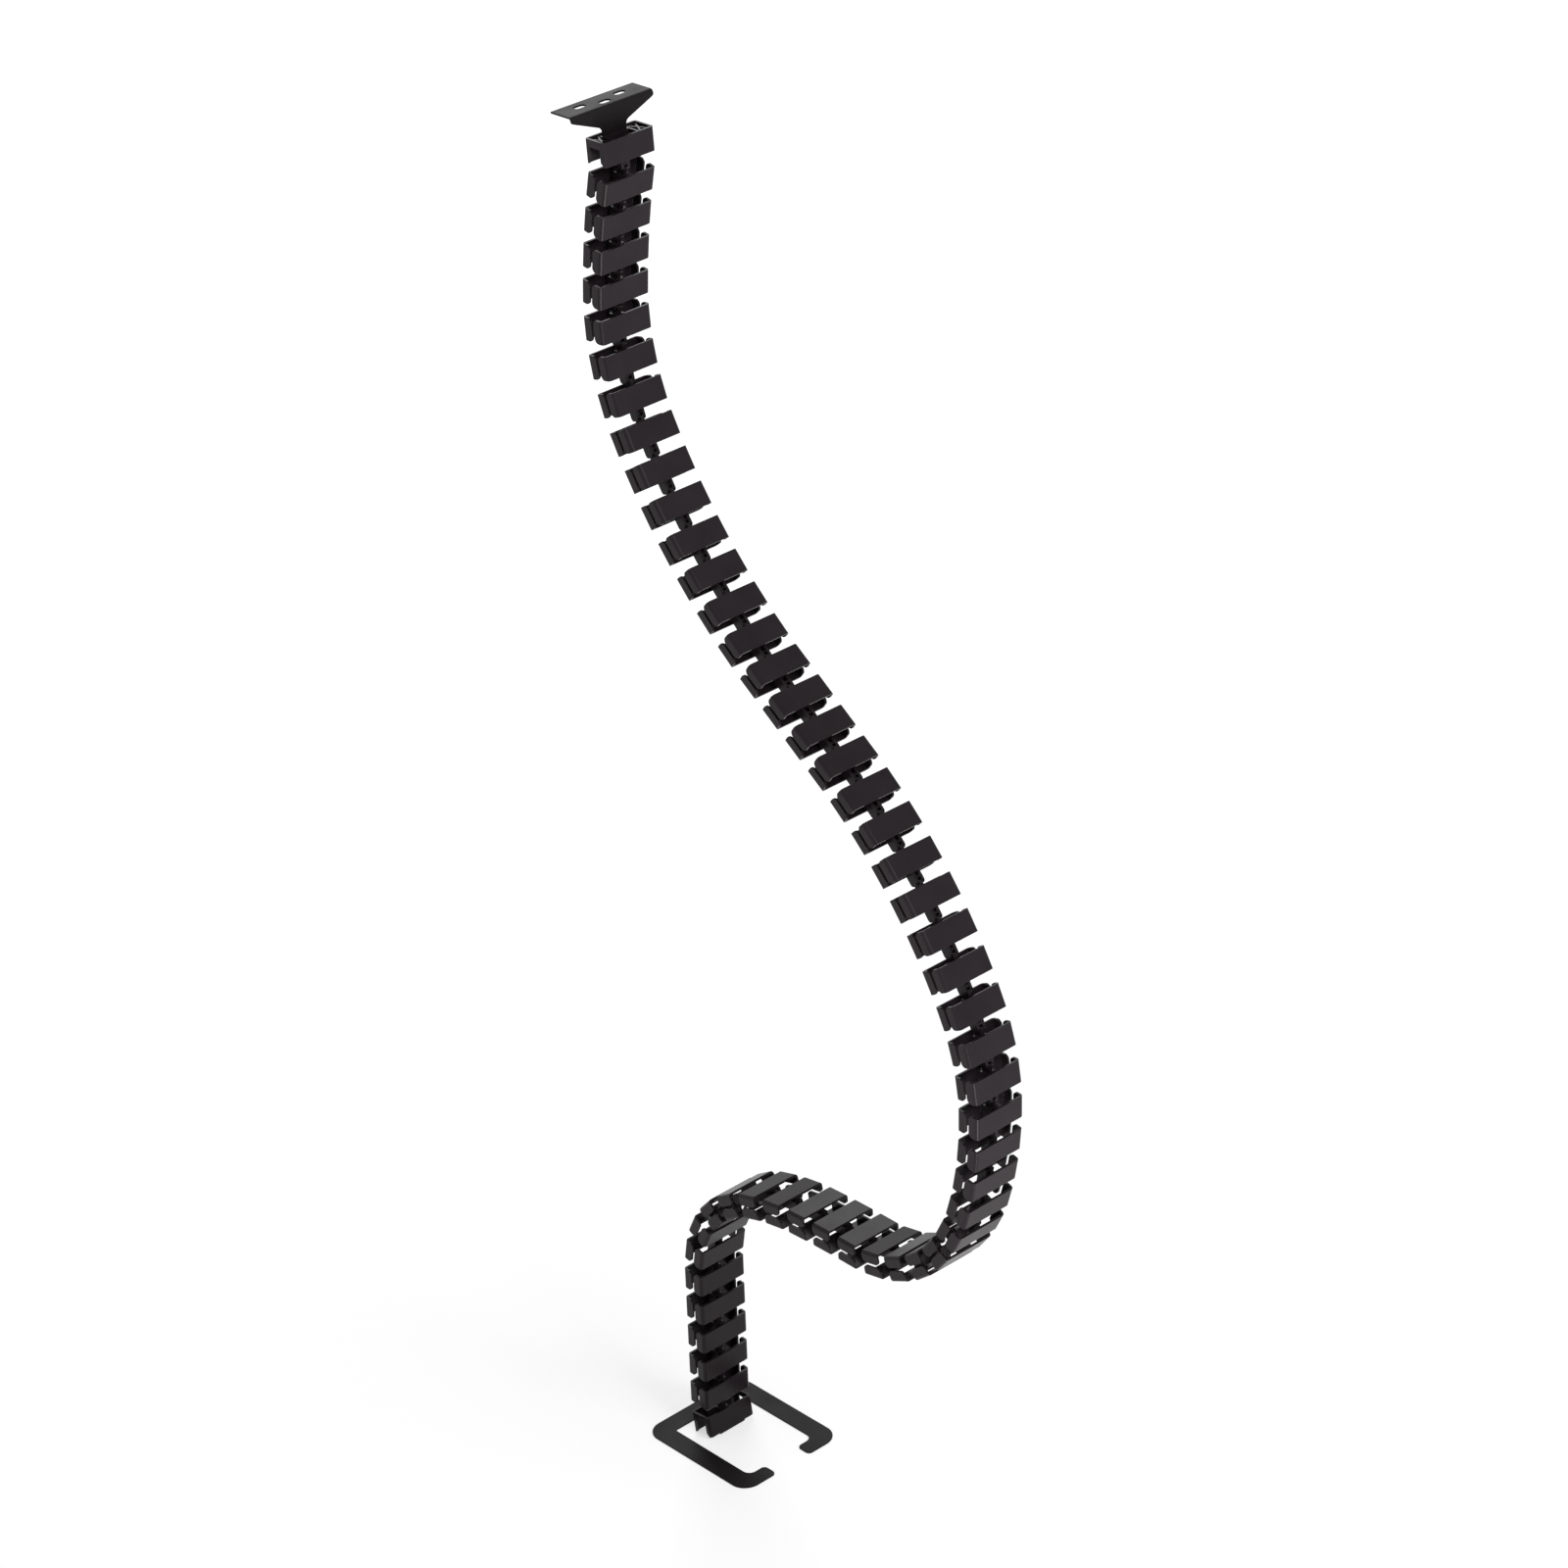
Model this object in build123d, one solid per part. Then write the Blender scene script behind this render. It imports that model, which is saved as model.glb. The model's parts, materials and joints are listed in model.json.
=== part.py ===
from build123d import *
import os
from math import cos, radians, sin

# Cable spine: a chain of moulded links that carries cables from a desk top down to the floor.
# A bent steel bracket screws up under the desk, and a flat steel foot lies on the floor.
# X runs across the spine, the front is -Y and Z is up. Sizes are in millimetres, angles in degrees.
# The origin is midway between the bracket's two outer slots, on its top face.

# Chain and its pose
link_count = 50  # plain links between the top link and the bottom link
pitch = 25.0  # from one hinge to the next
# The hinges bend in runs: how many hinges each run has, and the angle that each of them turns.
# A positive angle swings the tail to the rear.
run_counts = [1, 3, 4, 7, 3, 7, 3, 3, 2, 3, 1, 2, 2, 4, 1, 4, 1]
run_angles = [15.5, -2.5, -8.5, -3.75, 0, 4.25, 9, 5.25, 10, 13.25, 11.5, -1.5, -6.5, -15.5, -9.5, 0, -10]

# Shell of a link: a front half and a rear half, with a gap between them in each side
link_width = 41.0
link_depth = 18.4
link_height = 16.0
wall = 1.6
corner_cut = 1.4  # across the upright corners
side_gap = 2.4
gap_corner = 2.0  # the free corners beside the gap are cut back by this much

# Core of a link: a post in the middle, with a web to each half of the shell
core_width = 7.0
core_setback = 2.0  # core and webs stop this far inside the shell's open ends
web = 1.8

# Hinge: a snap hook on top of each link, round a pin moulded between two ears
pin_radius = 1.1
pin_clearance = 0.1
knuckle = 3.5  # from the pin's middle to the front, rear and end of a hook or an ear
knuckle_cut = 1.4  # across the corners of that end
hook_width = 2.6
hook_clearance = 0.15  # on each side of the hook
hook_mouth = 1.9  # narrower than the pin, so that the hook snaps on

# Sheet steel of the bracket and the foot
sheet = 1.2
bend_radius = 2.0  # at the middle of the sheet
neck_width = 19.0  # the neck that goes into the top link or the bottom link
neck_clearance = 0.15  # around a neck in its socket
neck_front = 4.0  # front face of a neck, behind the plane of the hinges
socket_wall = 1.4
socket_floor = 2.0

# Top link
rim_setback = 1.0  # the inner walls stop this far below the rim
rib = 1.2
rib_depth = 5.0
window_width = 9.6  # opening in each side wall, open at the bottom
window_top = 5.0  # from the link's top down to the window
front_leg_cut = 2.8  # lower corner of each side wall, in front of its window
rear_leg_cut = 2.0  # the same corner behind the window

# Bottom link
lip_width = 23.0
lip_drop = 1.0

# Bracket
flange_width = 66.0
flange_depth = 20.0
flange_height = 38.0  # top face above the first hinge
end_height = 4.0  # depth of the apron at its ends
taper_height = 13.5  # from the top face down to where the apron reaches the neck
end_radius = 2.0
neck_fillet = 4.0
slot_length = 9.0
slot_breadth = 5.0
outer_slot_spacing = 32.0
outer_slot_back = 12.4  # behind the front face
middle_slot_back = 7.5

# Foot
foot_width = 91.0
foot_depth = 108.0
foot_bar = 15.5  # breadth of the rear bar and of both arms
hook_reach = 14.5  # from the arm's inner edge to the end of its hook
hook_breadth = 12.5
foot_corner = 13.0
inner_rear_corner = 2.0
inner_front_corner = 6.0
hook_corner = 3.5
foot_gap = 17.0  # from the last hinge back to the rear bar
floor_clearance = 0.3  # the bottom link hangs this far off the floor
tongue_clearance = 0.5  # around the tongue where it passes under the bottom link's rear wall

# Worked out from the sizes above
end_gap = (pitch - link_height) / 2  # from a hinge to the nearest edge of a shell
seat = end_gap + core_setback  # from a hinge to the nearest end of a core
inner_width = link_width - 2 * wall
inner_depth = link_depth - 2 * wall
ear_inside = hook_width / 2 + hook_clearance
ear_width = core_width / 2 - ear_inside
neck_middle = neck_front + sheet / 2
first_hinge = (0, -neck_front - outer_slot_back, -flange_height)
hinge_bends = [angle for count, angle in zip(run_counts, run_angles) for _ in range(count)]
near = 0.01  # a corner or edge is taken for the one looked for when it is this close


def box(x, y, z):
    """A box from its three ranges."""
    middle = [(low + high) / 2 for low, high in (x, y, z)]
    return Pos(*middle) * Box(x[1] - x[0], y[1] - y[0], z[1] - z[0])


def tube():
    """The outer wall of a link, before its sides are opened. The link's upper hinge is the origin."""
    outline = Rectangle(link_width, link_depth)
    outline = chamfer(outline.vertices(), corner_cut)
    section = outline - Rectangle(inner_width, inner_depth)
    return Pos(0, 0, end_gap - pitch) * extrude(section, link_height)


def shell():
    """The two halves of a plain link's wall."""
    side = (-link_width, link_width)
    halves = tube() - box(side, (-side_gap / 2, side_gap / 2), (-pitch, 0))
    beside_gap = halves.edges().filter_by(Axis.X).filter_by(lambda e: abs(e.center().Y) < side_gap)
    return chamfer(beside_gap, gap_corner)


def core():
    """Post and webs."""
    height = (seat - pitch, -seat)
    post = box((-core_width / 2, core_width / 2), (-knuckle, knuckle), height)
    webs = box((-web / 2, web / 2), (-link_depth / 2 + wall / 2, link_depth / 2 - wall / 2), height)
    return post + webs


def knuckle_profile(end):
    """Side view of a hook or an ear, with the pin's middle at the origin and its free end up or down."""
    length = seat + knuckle
    profile = Pos(0, end * (knuckle - length / 2)) * Rectangle(2 * knuckle, length)
    return chamfer(profile.vertices().filter_by(lambda v: v.Y * end > 0), knuckle_cut)


def hook():
    """The snap hook that stands on a core and holds the pin of the link above."""
    bore = RegularPolygon(pin_radius + pin_clearance, 8, major_radius=False, rotation=22.5)
    profile = knuckle_profile(1) - bore
    profile -= Pos(-knuckle, 0) * Rectangle(2 * knuckle, hook_mouth)
    return extrude(Plane.YZ * profile, hook_width / 2, both=True)


def pin_profile():
    """Round above, where the next link's hook hangs from it, with three flats below."""
    upper_half = Pos(0, pin_radius) * Rectangle(2 * pin_radius, 2 * pin_radius)
    return RegularPolygon(pin_radius, 6) + (Circle(pin_radius) & upper_half)


def ears():
    """The two ears below a core and the pin between them."""
    pair = Part()
    for side in (-1, 1):
        ear = extrude(Plane.YZ * knuckle_profile(-1), ear_width / 2, both=True)
        pair += Pos(side * (ear_inside + ear_width / 2), 0, -pitch) * ear
    pin = extrude(Plane.YZ * pin_profile(), ear_inside + ear_width / 2, both=True)
    return pair + Pos(0, 0, -pitch) * pin


def plain_link():
    return shell() + core() + hook() + ears()


def side_windows(top):
    """What is cut from both side walls of an end link: an opening from below up to its top."""
    height = top + pitch
    window = extrude(Plane.YZ * Rectangle(window_width, height), link_width, both=True)
    return Pos(0, 0, top - height / 2) * window


def cut_legs(link):
    """Cuts the lower corners of each side wall beside its window."""
    bottom = end_gap - pitch
    for side, cut in ((-1, front_leg_cut), (1, rear_leg_cut)):
        corners = link.edges().filter_by(Axis.X)
        corners = corners.filter_by(lambda e: abs(e.center().Z - bottom) < near)
        corners = corners.filter_by(lambda e: abs(e.center().Y - side * window_width / 2) < near)
        link = chamfer(corners, cut)
    return link


def socket(low, high, open_end):
    """A block on the rear wall from low to high, with a slot for a neck that reaches its floor."""
    front = neck_front - neck_clearance - socket_wall
    half = neck_width / 2 + neck_clearance + socket_wall
    block = box((-half, half), (front, link_depth / 2 - wall / 2), (low, high))
    slot_half = neck_width / 2 + neck_clearance
    slot_depth = (neck_front - neck_clearance, neck_front + sheet + neck_clearance)
    if open_end > 0:
        slot = box((-slot_half, slot_half), slot_depth, (low + socket_floor, high + sheet))
    else:
        slot = box((-slot_half, slot_half), slot_depth, (low - sheet, high - socket_floor))
    return block - slot


def cross_walls(low, high):
    """Two walls from front to rear, which close the middle chamber of an end link."""
    inside = neck_width / 2 + neck_clearance
    walls = Part()
    for side in (-1, 1):
        across = sorted((side * inside, side * (inside + socket_wall)))
        walls += box(across, (-link_depth / 2 + wall / 2, link_depth / 2 - wall / 2), (low, high))
    return walls


def chamber_ribs(top):
    """A cross of ribs in each outer chamber of the top link."""
    inside = neck_width / 2 + neck_clearance + socket_wall
    chamber = inner_width / 2 - inside
    ribs = Part()
    for side in (-1, 1):
        middle = side * (inside + chamber / 2)
        corners = [(middle - chamber / 2, inner_depth / 2), (middle + chamber / 2, -inner_depth / 2)]
        for direction in (-1, 1):
            line = Line(*[(x, direction * y) for x, y in corners])
            bar = Pos(0, 0, top - rib_depth) * extrude(trace(line, rib), rib_depth)
            ribs += bar & box((-inner_width / 2, inner_width / 2), (-inner_depth / 2, inner_depth / 2),
                              (-pitch, 0))
    return ribs


def end_core(height):
    """Post with a web to the front wall, for an end link."""
    socket_face = neck_front - neck_clearance - socket_wall / 2
    post = box((-core_width / 2, core_width / 2), (-knuckle, socket_face), height)
    ahead = box((-web / 2, web / 2), (-link_depth / 2 + wall / 2, 0), height)
    return post + ahead


def top_link():
    """The link that takes the bracket's neck from above. It has ears below and no hook."""
    top = -end_gap
    bottom = seat - pitch
    inner_top = top - rim_setback
    link = tube() - side_windows(top - window_top)
    link = cut_legs(link)
    link += cross_walls(bottom, inner_top)
    link += socket(bottom, inner_top, 1)
    link += chamber_ribs(inner_top)
    link += end_core((bottom, bottom + 2 * socket_floor))
    return link + ears()


def bottom_link():
    """The link that takes the foot's neck from below. It has a hook on top and no ears."""
    bottom = end_gap - pitch
    half_lip = lip_width / 2
    outer = -link_depth / 2
    link = tube() - side_windows(-seat - socket_floor)
    link = cut_legs(link)
    link += socket(bottom + sheet + bend_radius, -seat, -1)
    link += end_core((bottom + core_setback, -seat))
    link += box((-half_lip, half_lip), (outer, outer + wall), (bottom - lip_drop, bottom + wall))
    return link + hook()


def bent_strip(points, width):
    """A strip of sheet that follows points of the YZ plane, with its bends rounded."""
    path = FilletPolyline(*points, radius=bend_radius)
    return extrude(Plane.YZ * trace(path, sheet), width / 2, both=True)


def obround(breadth):
    return extrude(SlotOverall(slot_length, breadth), 2 * sheet, both=True)


def desk_bracket():
    """One piece of sheet: a flange under the desk, bent down into an apron that narrows to a neck."""
    front = first_hinge[1] + neck_front
    middle = front + sheet / 2
    neck_end = first_hinge[2] + seat + socket_floor
    strip = bent_strip(
        [(front + flange_depth, -sheet / 2), (middle, -sheet / 2), (middle, neck_end)], flange_width
    )
    half = flange_width / 2
    neck = neck_width / 2
    right = [(half, sheet), (half, -end_height), (neck, -taper_height), (neck, neck_end - sheet)]
    left = [(-x, z) for x, z in reversed(right)]
    outline = Plane.XZ * make_face(Polyline(*right, *left, close=True))
    outline = extrude(outline, 2 * flange_depth, both=True)
    upright = outline.edges().filter_by(Axis.Y)
    inner = upright.filter_by(lambda e: abs(e.center().Z + taper_height) < near)
    outline = fillet(inner, neck_fillet)
    outer = outline.edges().filter_by(Axis.Y)
    outer = outer.filter_by(lambda e: abs(e.center().Z + end_height) < near)
    outline = fillet(outer, end_radius)
    bracket = strip & outline
    for side in (-1, 1):
        bracket -= Pos(side * outer_slot_spacing / 2, front + outer_slot_back) * obround(slot_breadth)
    return bracket - Pos(0, front + middle_slot_back) * obround(slot_breadth)


def foot_outline():
    """Plan of the foot, with the rear edge of its bar on the X axis: a C with hooked arms."""
    half = foot_width / 2
    inside = half - foot_bar
    hook_end = inside - hook_reach
    right = [
        (half, 0),
        (half, -foot_depth),
        (hook_end, -foot_depth),
        (hook_end, -foot_depth + hook_breadth),
        (inside, -foot_depth + hook_breadth),
        (inside, -foot_bar),
    ]
    left = [(-x, y) for x, y in reversed(right)]
    plan = make_face(Polyline(*right, *left, close=True))

    def corners(x, y):
        return plan.vertices().filter_by(lambda v: abs(abs(v.X) - x) < near and abs(v.Y - y) < near)

    rounded = [
        (half, 0, foot_corner),
        (half, -foot_depth, foot_corner),
        (hook_end, -foot_depth, hook_corner),
        (hook_end, -foot_depth + hook_breadth, hook_corner),
        (inside, -foot_depth + hook_breadth, inner_front_corner),
        (inside, -foot_bar, inner_rear_corner),
    ]
    for x, y, radius in rounded:
        plan = fillet(corners(x, y), radius)
    return plan


def foot_plate(hinge, tilt, floor):
    """One piece of sheet on the floor, with a tongue under the bottom link and a neck up into it."""
    bar_front = hinge[1] + foot_gap
    plate = Pos(0, bar_front + foot_bar, floor) * extrude(foot_outline(), sheet)
    level = floor + sheet / 2
    socket_top = -seat - socket_floor
    end = along(hinge, tilt, neck_middle, socket_top)
    slope = sin(radians(tilt)) / cos(radians(tilt))
    corner_y = end[0] + slope * (end[1] - level)
    points = [(bar_front + foot_bar / 2, level), (corner_y, level), end]
    return plate + bent_strip(points, neck_width)


def along(hinge, tilt, y, z):
    """Where a point of a link lies in the YZ plane once the link hangs from its hinge at its tilt."""
    turn = radians(tilt)
    return (hinge[1] + y * cos(turn) - z * sin(turn), hinge[2] + y * sin(turn) + z * cos(turn))


def hinge_places():
    """Each hinge's place, and the tilt of the link that hangs from it."""
    place = first_hinge
    tilt = 0
    places = []
    for bend in hinge_bends:
        tilt += bend
        places.append((place, tilt))
        place = (0, *along(place, tilt, 0, -pitch))
    return places


def write(shape, name):
    export_step(shape, f"parts/{name}.step")


def main():
    os.makedirs("parts", exist_ok=True)
    places = hinge_places()
    write(desk_bracket(), "desk_bracket")
    above = (0, first_hinge[1], first_hinge[2] + pitch)
    write(Pos(*above) * top_link(), "top_link")
    link = plain_link()
    for number, (hinge, tilt) in enumerate(places[:link_count], start=1):
        write(Pos(*hinge) * Rot(tilt, 0, 0) * link, f"link_{number:02d}")

    last_hinge, tilt = places[link_count]
    last = Pos(*last_hinge) * Rot(tilt, 0, 0) * bottom_link()
    floor = last.bounding_box().min.Z - floor_clearance
    foot = foot_plate(last_hinge, tilt, floor)
    half = neck_width / 2 + tongue_clearance
    passage = box(
        (-half, half),
        (last_hinge[1], last_hinge[1] + link_depth),
        (floor - sheet, floor + sheet + tongue_clearance),
    )
    write(last - passage, "bottom_link")
    write(foot, "foot_plate")


main()
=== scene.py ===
import json
from math import cos, radians, sin

import bpy
from mathutils import Euler, Matrix, Vector


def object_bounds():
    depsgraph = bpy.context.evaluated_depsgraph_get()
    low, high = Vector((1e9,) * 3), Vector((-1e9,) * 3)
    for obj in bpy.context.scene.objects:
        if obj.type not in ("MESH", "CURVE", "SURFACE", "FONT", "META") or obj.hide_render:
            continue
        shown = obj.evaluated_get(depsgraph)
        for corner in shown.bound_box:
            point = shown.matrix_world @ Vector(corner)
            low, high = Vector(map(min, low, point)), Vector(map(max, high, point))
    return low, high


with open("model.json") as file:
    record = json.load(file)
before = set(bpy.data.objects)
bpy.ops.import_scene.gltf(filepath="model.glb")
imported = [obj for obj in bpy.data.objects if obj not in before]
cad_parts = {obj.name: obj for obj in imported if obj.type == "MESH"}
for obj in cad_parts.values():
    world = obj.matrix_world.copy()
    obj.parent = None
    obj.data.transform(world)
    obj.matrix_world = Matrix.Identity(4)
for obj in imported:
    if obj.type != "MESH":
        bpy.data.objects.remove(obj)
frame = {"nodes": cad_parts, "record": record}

MM = 0.001
cad_box = [list(corner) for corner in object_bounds()]

# Camera, as in the photograph: a long lens from the front left, looking down
camera_azimuth = radians(39.58)  # turned from straight at the front towards the left side
camera_elevation = radians(27.54)
camera_roll = radians(-4.87)
camera_place = Vector((-1685.4, -2160.5, 943.0)) * MM
focal_pixels = 4740.2
photo_pixels = 1600
sensor_width = 36.0

# Colours: each surface varies from one to the other of its pair
link_black = (0.0170, 0.0122, 0.0155, 1)
link_black_worn = (0.0220, 0.0165, 0.0202, 1)
steel_black = (0.0062, 0.0048, 0.0051, 1)
steel_black_light = (0.0105, 0.0083, 0.0088, 1)
# The next colour is a painted highlight, laid along the links' edges where rounded corners would catch
# the light
painted_highlight_grey = (0.060, 0.050, 0.056, 1)
white = (1, 1, 1, 1)

# Surface of the links
link_roughness = (0.24, 0.33)
link_clouding = 45.0  # per metre, slow changes across the surface
link_grain = 2600.0  # per metre, fine moulded texture
link_relief = (0.25, 0.04 * MM)  # strength and depth of that texture
painted_highlight_reach = 0.35 * MM  # how far the painted highlight, a lighter colour along an edge, reaches from that edge
least_painted_highlight = 0.3  # share of the painted edge highlight that is left where the grain hides it most
edge_likeness = (0.86, 0.995)  # how alike the rounded and the flat normal are, on an edge and off it

# Surface of the steel
steel_roughness = (0.46, 0.56)
steel_clouding = 30.0
steel_grain = 3500.0
steel_relief = (0.2, 0.04 * MM)
orange_peel = 900.0
peel_relief = (0.25, 0.06 * MM)

specular_level = 0.12  # of both, lower than the usual 0.5, for black with little sheen

# Edges and corners
corner_round = 0.95 * MM  # taken off each side of a cut corner, which rounds it
link_edge = 0.22 * MM
steel_edge = 0.25 * MM
cut_corner = radians(45)
cut_corner_spread = radians(10)
sharp_edge = radians(60)
least_upright = 8 * MM  # an end link's corner edges that get rounded are longer than this
end_link_reach = 20 * MM  # and no further out than this
whole_reach = 1.0  # further out than any edge
weld_distance = 0.002 * MM
flat_angle = radians(0.5)

# Stage
floor_size = 30.0
floor_white = 0.86
floor_roughness = 0.9
near_glow = 0.58  # added where the floor is seen, so that it is white away from the shadow
far_glow = 0.82  # the same where the lamps no longer reach
near_distance = 1.0  # from the bracket, straight down to the floor
far_distance = 3.2
world_light = 0.25
lamps_face = (0, -0.15, -0.5)  # the middle of the spine
strip_place = (-0.62, -1.25)
strip_height = 0.005  # above the floor
strip_turn = radians(29)


def look_matrix():
    """Camera axes from azimuth, elevation and roll."""
    flat = cos(camera_elevation)
    ahead = Vector((sin(camera_azimuth) * flat, cos(camera_azimuth) * flat, -sin(camera_elevation)))
    right = Vector((cos(camera_azimuth), -sin(camera_azimuth), 0))
    up = right.cross(ahead)
    rolled_right = cos(camera_roll) * right + sin(camera_roll) * up
    rolled_up = cos(camera_roll) * up - sin(camera_roll) * right
    turn = Matrix((rolled_right, rolled_up, -ahead)).transposed()
    return Matrix.Translation(camera_place) @ turn.to_4x4()


def add_camera():
    data = bpy.data.cameras.new("photo_camera")
    data.sensor_width = sensor_width
    data.sensor_fit = "HORIZONTAL"
    data.lens = focal_pixels / photo_pixels * sensor_width
    data.clip_end = 100  # metres
    camera = bpy.data.objects.new("photo_camera", data)
    camera.matrix_world = look_matrix()
    bpy.context.scene.collection.objects.link(camera)
    bpy.context.scene.camera = camera


class Nodes:
    """Short hand for building a tree of nodes. A value is a number, a colour or another node's output."""

    def __init__(self, tree):
        self.tree = tree

    def feed(self, socket, value):
        if hasattr(value, "is_output"):
            self.tree.links.new(value, socket)
        else:
            socket.default_value = value

    def add(self, kind, inputs=None, **settings):
        node = self.tree.nodes.new(kind)
        for key, value in settings.items():
            setattr(node, key, value)
        for key, value in (inputs or {}).items():
            self.feed(node.inputs[key], value)
        return node

    def math(self, operation, first, second=0):
        return self.add("ShaderNodeMath", {0: first, 1: second}, operation=operation).outputs[0]

    def vector(self, operation, first, second=(0, 0, 0)):
        """The number that an operation on one or two vectors gives."""
        node = self.add("ShaderNodeVectorMath", {0: first, 1: second}, operation=operation)
        return node.outputs["Value"]

    def place(self):
        return self.add("ShaderNodeTexCoord").outputs["Object"]

    def noise(self, place, scale, detail=2.0):
        inputs = {"Vector": place, "Scale": scale, "Detail": detail}
        return self.add("ShaderNodeTexNoise", inputs).outputs["Fac"]

    def map(self, value, low, high, start=0.3, end=0.7):
        """From low at start to high at end. Most of a noise lies between the 0.3 and 0.7 given here."""
        inputs = {"Value": value, "From Min": start, "From Max": end, "To Min": low, "To Max": high}
        return self.add("ShaderNodeMapRange", inputs).outputs["Result"]

    def mix(self, factor, first, second):
        return self.add("ShaderNodeMix", {0: factor, 6: first, 7: second}, data_type="RGBA").outputs[2]

    def bump(self, height, strength, distance, **under):
        """Relief of the surface, on top of the one given as Normal."""
        inputs = {"Height": height, "Strength": strength, "Distance": distance, **under}
        return self.add("ShaderNodeBump", inputs).outputs["Normal"]

    def edges(self, width):
        """1 beside an edge and 0 away from it."""
        rounded = self.add("ShaderNodeBevel", {"Radius": width}, samples=4).outputs["Normal"]
        flat = self.add("ShaderNodeNewGeometry").outputs["True Normal"]
        return self.map(self.vector("DOT_PRODUCT", rounded, flat), 1, 0, *edge_likeness)

    def seen(self, low, high):
        """low for light that falls on things, high where the camera, a gloss or glass looks."""
        path = self.add("ShaderNodeLightPath")
        direct = self.math("MAXIMUM", path.outputs["Is Camera Ray"], path.outputs["Is Glossy Ray"])
        every = self.math("MAXIMUM", direct, path.outputs["Is Transmission Ray"])
        return self.map(every, low, high, 0, 1)


class Material(Nodes):
    """A material's tree, with its main shader."""

    def __init__(self, name):
        self.material = bpy.data.materials.new(name)
        self.material.use_nodes = True
        super().__init__(self.material.node_tree)
        self.shader = self.tree.nodes["Principled BSDF"]

    def set(self, key, value):
        self.feed(self.shader.inputs[key], value)


def moulded_plastic():
    """Satin black plastic with a fine moulded grain and a painted highlight, a lighter grey, along its
    edges.
    """
    n = Material("moulded_black_plastic")
    place = n.place()
    clouds = n.noise(place, link_clouding, detail=3.0)
    grain = n.noise(place, link_grain)
    # painted highlight: a lighter grey laid along the edges, thinned where the grain is low
    painted_highlight = n.math("MULTIPLY", n.edges(painted_highlight_reach), n.map(grain, least_painted_highlight, 1))
    colour = n.mix(n.map(clouds, 0, 1), link_black, link_black_worn)
    n.set("Base Color", n.mix(painted_highlight, colour, painted_highlight_grey))
    n.set("Roughness", n.map(clouds, *link_roughness))
    n.set("Specular IOR Level", specular_level)
    n.set("Normal", n.bump(grain, *link_relief))
    return n.material


def powder_coat():
    """Black powder coat on steel, with a slight orange peel."""
    n = Material("black_powder_coat")
    place = n.place()
    clouds = n.noise(place, steel_clouding, detail=3.0)
    grain = n.noise(place, steel_grain)
    n.set("Base Color", n.mix(n.map(grain, 0, 1), steel_black, steel_black_light))
    n.set("Roughness", n.map(clouds, *steel_roughness))
    n.set("Specular IOR Level", specular_level)
    peel = n.bump(n.noise(place, orange_peel), *peel_relief)
    n.set("Normal", n.bump(grain, *steel_relief, Normal=peel))
    return n.material


def cut_corner_marks(least_length, reach):
    """Marks the edges of cut corners, so that only these get the wide rounding.

    An edge shorter than least_length stays as it is, and so does one further out than reach.
    Edges that point inwards, such as those of a hook's bore, are left out too.
    """
    tree = bpy.data.node_groups.new("cut_corner_marks", "GeometryNodeTree")
    tree.interface.new_socket("Geometry", in_out="INPUT", socket_type="NodeSocketGeometry")
    tree.interface.new_socket("Geometry", in_out="OUTPUT", socket_type="NodeSocketGeometry")
    n = Nodes(tree)
    given = n.add("NodeGroupInput").outputs[0]
    angle = n.add("GeometryNodeInputMeshEdgeAngle").outputs["Signed Angle"]
    off = n.math("ABSOLUTE", n.math("SUBTRACT", angle, cut_corner))
    ends = n.add("GeometryNodeInputMeshEdgeVertices").outputs
    length = n.vector("DISTANCE", ends["Position 1"], ends["Position 2"])
    across = n.add("ShaderNodeSeparateXYZ", {"Vector": ends["Position 1"]}).outputs["X"]
    mark = n.math("LESS_THAN", off, cut_corner_spread)
    mark = n.math("MULTIPLY", mark, n.math("GREATER_THAN", length, least_length))
    mark = n.math("MULTIPLY", mark, n.math("LESS_THAN", n.math("ABSOLUTE", across), reach))
    inputs = {"Geometry": given, "Name": "bevel_weight_edge", "Value": mark}
    marked = n.add("GeometryNodeStoreNamedAttribute", inputs, data_type="FLOAT", domain="EDGE")
    smooth = n.add("GeometryNodeSetShadeSmooth", {"Geometry": marked.outputs["Geometry"]})
    n.add("NodeGroupOutput", {0: smooth.outputs["Geometry"]})
    return tree


def soften_edges(node, marks, width):
    """Rounds a CAD piece's cut corners and, more finely, its sharp edges, which catch the light."""
    weld = node.modifiers.new("weld", "WELD")
    weld.merge_threshold = weld_distance
    flat = node.modifiers.new("flat_faces", "DECIMATE")
    flat.decimate_type = "DISSOLVE"
    flat.angle_limit = flat_angle
    mark = node.modifiers.new("marks", "NODES")
    mark.node_group = marks
    corners = node.modifiers.new("corners", "BEVEL")
    corners.width = corner_round
    corners.segments = 3
    corners.limit_method = "WEIGHT"
    corners.use_clamp_overlap = False
    edges = node.modifiers.new("edges", "BEVEL")
    edges.width = width
    edges.segments = 2
    edges.limit_method = "ANGLE"
    edges.angle_limit = sharp_edge
    edges.use_clamp_overlap = True
    normals = node.modifiers.new("normals", "WEIGHTED_NORMAL")
    normals.keep_sharp = False


def dress():
    """Gives each CAD piece its material and its rounded edges."""
    finish = {"link_plastic": (moulded_plastic(), link_edge), "black_steel": (powder_coat(), steel_edge)}
    every_corner = cut_corner_marks(0.0, whole_reach)
    upright_corners = cut_corner_marks(least_upright, end_link_reach)
    for part in frame["record"]["subparts"]:
        node = frame["nodes"][part["node"]]
        marks = every_corner if part["node"].startswith("link_") else upright_corners
        material, edge = finish[part["material_slot"]]
        node.data.materials.clear()
        node.data.materials.append(material)
        soften_edges(node, marks, edge)


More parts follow.
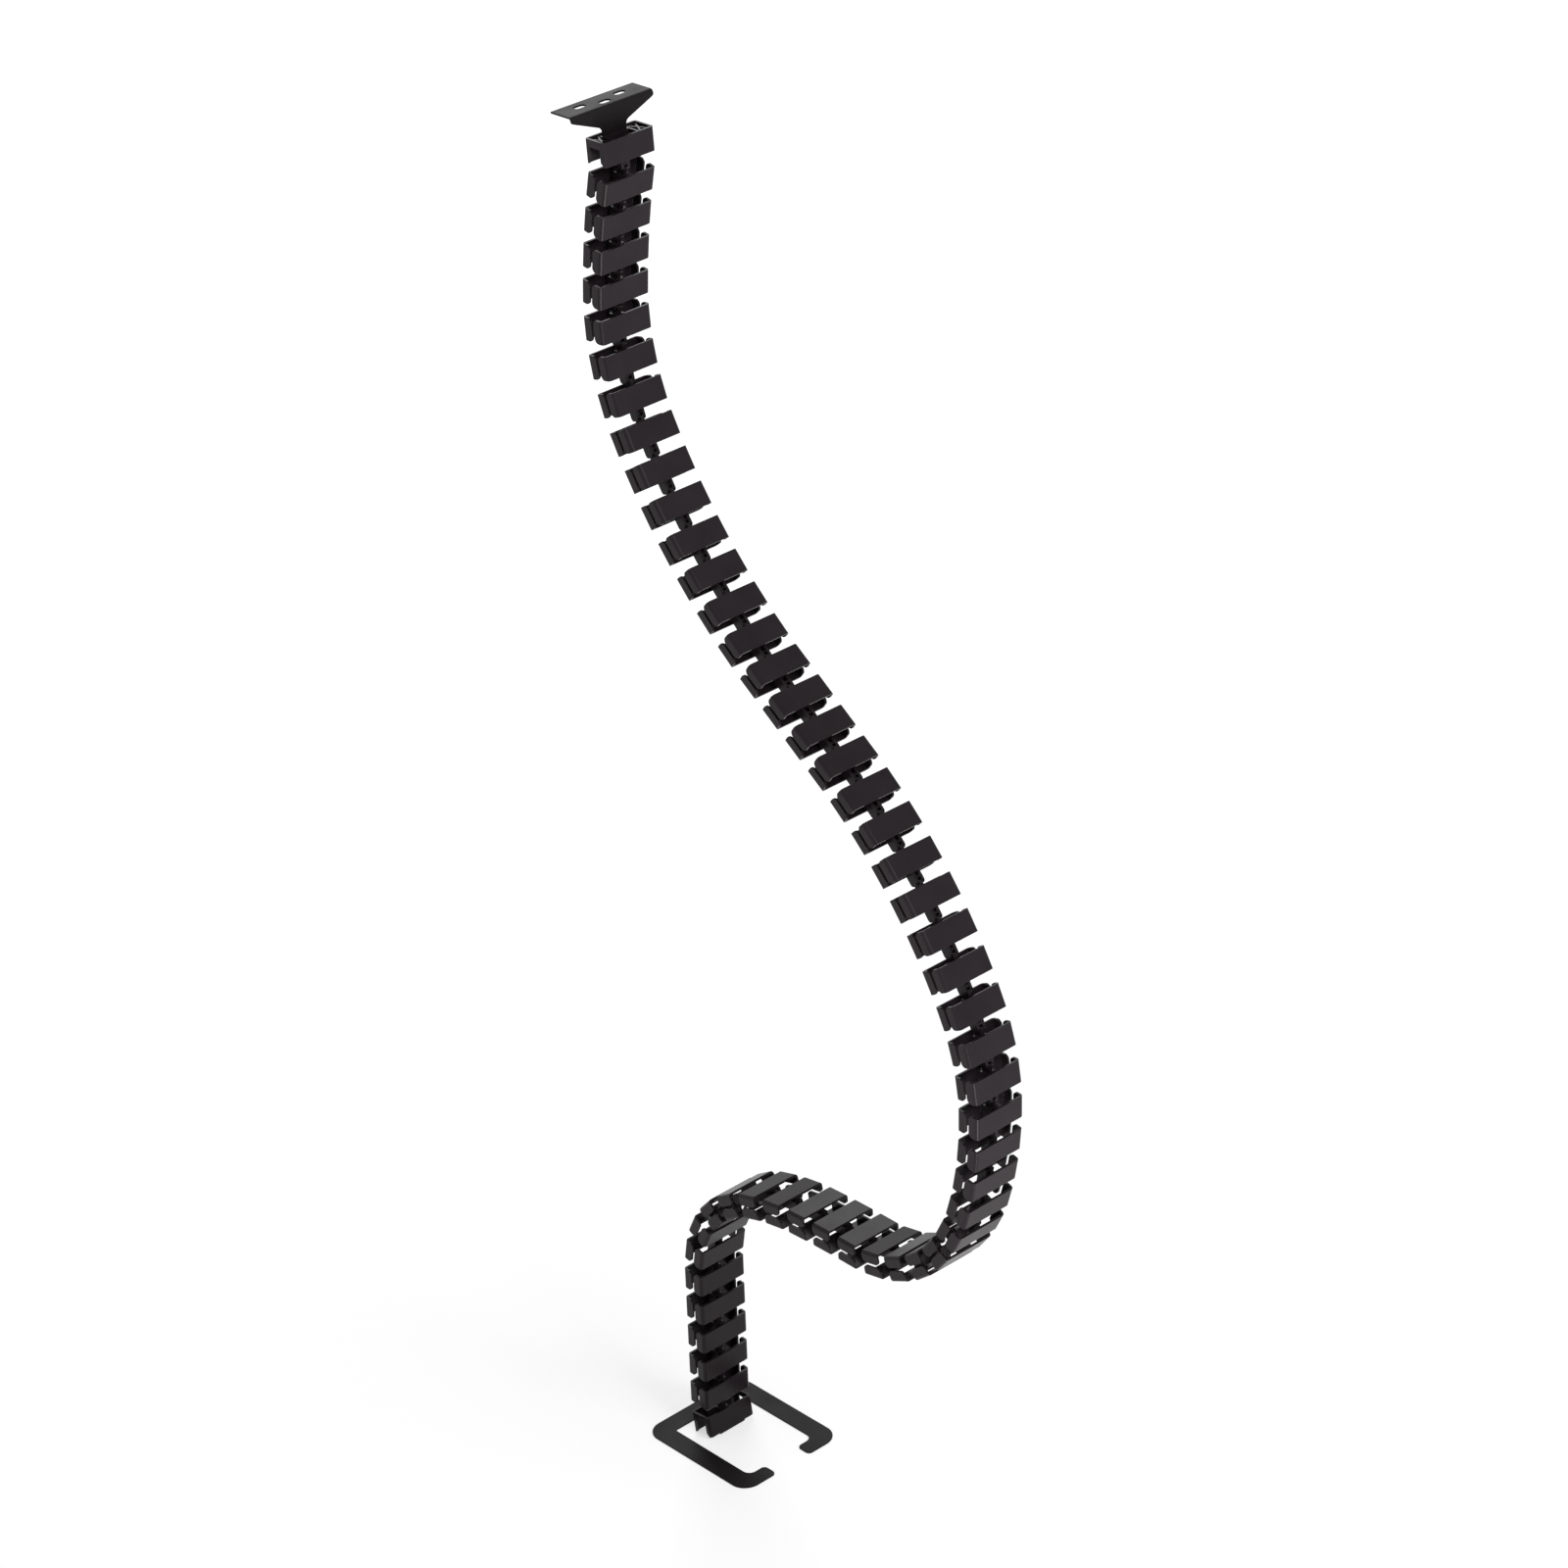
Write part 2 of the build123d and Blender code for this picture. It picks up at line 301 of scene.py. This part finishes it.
def floor_material():
    """Pale floor that is white where no shadow falls."""
    n = Material("pale_floor")
    n.set("Base Color", (floor_white, floor_white, floor_white, 1))
    n.set("Roughness", floor_roughness)
    n.set("Specular IOR Level", 0.0)
    n.set("Emission Color", white)
    distance = n.vector("LENGTH", n.place())
    glow = n.map(distance, near_glow, far_glow, near_distance, far_distance)
    n.set("Emission Strength", n.math("MULTIPLY", n.seen(0, 1), glow))
    return n.material


def add_floor(level):
    mesh = bpy.data.meshes.new("floor")
    h = floor_size / 2
    mesh.from_pydata([(-h, -h, level), (h, -h, level), (h, h, level), (-h, h, level)], [], [(0, 1, 2, 3)])
    floor = bpy.data.objects.new("floor", mesh)
    bpy.context.scene.collection.objects.link(floor)
    mesh.materials.append(floor_material())


def add_lamp(name, place, target, size, power, turn=0.0):
    """A rectangular lamp that faces its target and is turned about that line."""
    data = bpy.data.lights.new(name, "AREA")
    data.energy = power
    data.shape = "RECTANGLE"
    data.size, data.size_y = size
    lamp = bpy.data.objects.new(name, data)
    lamp.location = place
    aim = (Vector(target) - Vector(place)).to_track_quat("-Z", "Y")
    lamp.rotation_euler = (aim @ Euler((0, 0, turn)).to_quaternion()).to_euler()
    lamp.visible_camera = False
    bpy.context.scene.collection.objects.link(lamp)


def add_light(floor_level):
    """Two large soft lamps, and a strip on the floor that the links' upright corners mirror."""
    add_lamp("key", place=(0.15, -2.9, 1.5), target=lamps_face, size=(1.6, 1.6), power=38)
    low = (*strip_place, floor_level + strip_height)
    add_lamp("strip", place=low, target=(*strip_place, 1), size=(0.4, 1.5), power=22, turn=strip_turn)
    add_lamp("back", place=(1.5, 1.9, 1.25), target=lamps_face, size=(1.4, 1.4), power=18)
    world = bpy.data.worlds.new("studio")
    bpy.context.scene.world = world
    world.use_nodes = True
    n = Nodes(world.node_tree)
    background = world.node_tree.nodes["Background"]
    n.feed(background.inputs["Color"], white)
    n.feed(background.inputs["Strength"], n.seen(world_light, 1.0))


dress()
add_floor(cad_box[0][2])
add_light(cad_box[0][2])
add_camera()
bpy.context.scene.view_settings.view_transform = "Standard"
